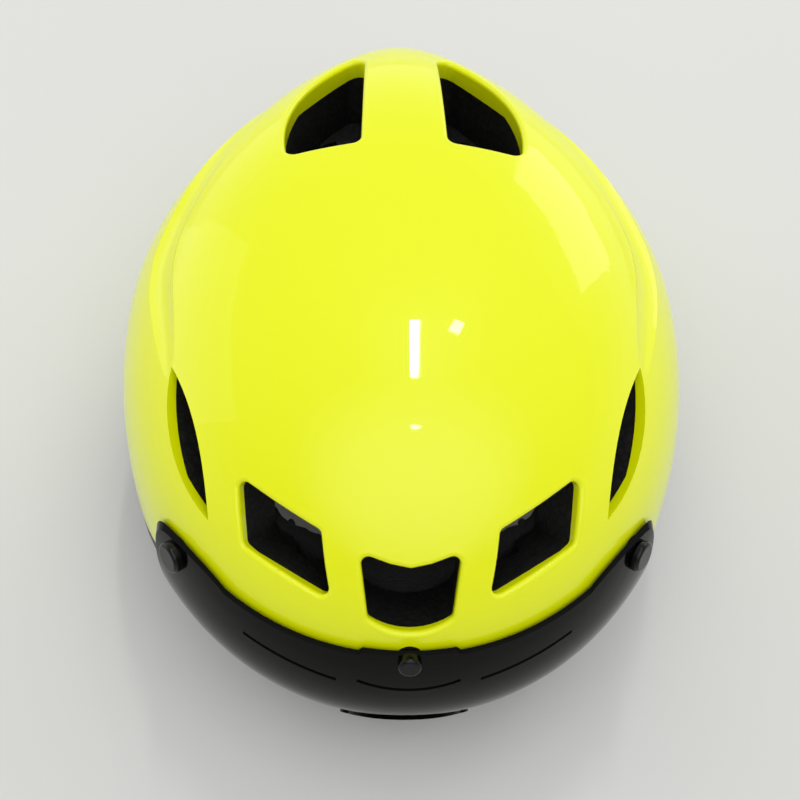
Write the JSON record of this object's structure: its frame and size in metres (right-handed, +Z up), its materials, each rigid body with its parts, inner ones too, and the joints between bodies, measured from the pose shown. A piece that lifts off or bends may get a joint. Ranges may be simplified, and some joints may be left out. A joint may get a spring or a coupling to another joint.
{
  "type": "aero time trial helmet",
  "caption": "Glossy short-tailed aero cycling helmet with large vents, a full-width smoked magnetic visor, nape dial fit system and chin straps.",
  "frame": {"origin": "middle of the bounding box, at the level of the table that the helmet stands on", "axes": "-Y towards the face, +Z up, +X towards the wearer's left"},
  "size_m": [0.208, 0.2782, 0.15],
  "materials": {
    "shell_gloss": "glossy fluorescent yellow-green moulded skin",
    "foam_black": "black expanded foam with a fine beaded surface",
    "trim_black": "satin black moulded plastic",
    "cap_black": "glossy black plastic",
    "lens_smoke": "clear smoke-grey lens, glossy on both faces",
    "magnet_nickel": "nickel-plated magnet",
    "pad_fabric": "soft black knitted pad",
    "strap_webbing": "black woven webbing",
    "dial_rubber": "soft black grip",
    "screw_steel": "dark plated steel"
  },
  "bodies": {
    "helmet": {"outer_shell": "shell_gloss", "eps_liner": "foam_black", "lower_trim": "trim_black", "magnet_cup_left": "trim_black", "magnet_cup_right": "trim_black", "magnet_cup_centre": "trim_black", "shell_magnet_left": "magnet_nickel", "shell_magnet_right": "magnet_nickel", "shell_magnet_centre": "magnet_nickel", "brow_pad": "pad_fabric", "crown_pad": "pad_fabric", "crown_side_pad_left": "pad_fabric", "crown_side_pad_right": "pad_fabric", "hanger_clip": "trim_black", "temple_pin_left": "trim_black", "temple_pin_right": "trim_black", "front_anchor_left": "trim_black", "front_anchor_right": "trim_black", "rear_anchor_left": "trim_black", "rear_anchor_right": "trim_black", "front_strap_left": "strap_webbing", "front_strap_right": "strap_webbing", "rear_strap_left": "strap_webbing", "rear_strap_right": "strap_webbing", "strap_divider_left": "trim_black", "strap_divider_right": "trim_black", "chin_strap_left": "strap_webbing", "chin_strap_right": "strap_webbing", "chin_pad": "pad_fabric", "buckle_base": "trim_black", "buckle_base_magnet": "magnet_nickel"},
    "visor": {"visor_lens": "lens_smoke", "nose_trim": "cap_black", "visor_cap_left": "cap_black", "visor_cap_right": "cap_black", "visor_cap_centre": "cap_black", "visor_magnet_left": "magnet_nickel", "visor_magnet_right": "magnet_nickel", "visor_magnet_centre": "magnet_nickel"},
    "fit_band": {"dial_housing": "trim_black", "dial_cover": "trim_black", "cover_screws": "screw_steel", "hanger_strip": "trim_black", "nape_pad": "pad_fabric"},
    "dial": {"dial_pinion": "trim_black", "dial_knob": "dial_rubber", "dial_screw": "screw_steel"},
    "band_left": {"rack_left": "trim_black", "band_arm_left": "trim_black"},
    "band_right": {"rack_right": "trim_black", "band_arm_right": "trim_black"},
    "strap_slider": {"buckle_slider": "trim_black", "buckle_slider_magnet": "magnet_nickel"}
  },
  "joints": [
    {"name": "visor_release", "type": "slide", "parent": "helmet", "child": "visor", "axis": [0, -1, 0], "range_m": [0, 0.06]},
    {"name": "fit_band_tilt", "type": "hinge", "parent": "helmet", "child": "fit_band", "pos_m": [0, 0.01, 0.038], "axis": [1, 0, 0], "range_deg": [-6, 6]},
    {"name": "dial_turn", "type": "hinge", "parent": "fit_band", "child": "dial", "pos_m": [0, 0.08, 0.038], "axis": [0, 1, 0], "range_deg": [-34.38, 91.67]},
    {"name": "rack_left_slide", "type": "slide", "parent": "fit_band", "child": "band_left", "axis": [-1, 0, 0], "range_m": [-0.003, 0.008], "deforming": ["band_arm_left"]},
    {"name": "rack_right_slide", "type": "slide", "parent": "fit_band", "child": "band_right", "axis": [1, 0, 0], "range_m": [-0.003, 0.008], "deforming": ["band_arm_right"]},
    {"name": "buckle_release", "type": "slide", "parent": "helmet", "child": "strap_slider", "axis": [0, -1, 0], "range_m": [0, 0.024]}
  ],
  "couplings": [
    {"joint": "rack_left_slide", "follows": "dial_turn", "m_per_rad": 0.005},
    {"joint": "rack_right_slide", "follows": "dial_turn", "m_per_rad": 0.005}
  ]
}
